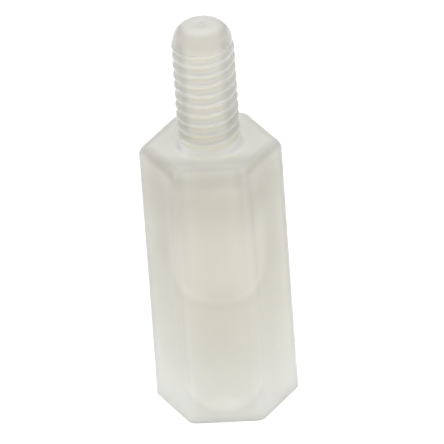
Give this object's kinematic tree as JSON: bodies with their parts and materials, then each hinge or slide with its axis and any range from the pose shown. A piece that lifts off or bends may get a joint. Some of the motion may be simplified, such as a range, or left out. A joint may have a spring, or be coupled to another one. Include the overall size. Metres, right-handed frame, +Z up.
{
  "type": "hex standoff",
  "caption": "Moulded hexagonal standoff with a round-ended threaded stud on one end and a threaded blind hole in the other.",
  "frame": {"origin": "centre of the flat bottom face, on the screw axis", "axes": "+Z up along the screw axis towards the stud's tip; two of the six flats face -Y and +Y, so two upright edges lie on X"},
  "size_m": [0.0088, 0.0078, 0.0265],
  "materials": {
    "nylon": "natural milky nylon, slightly translucent, satin as moulded"
  },
  "bodies": {
    "root": {"standoff": "nylon"}
  },
  "joints": []
}
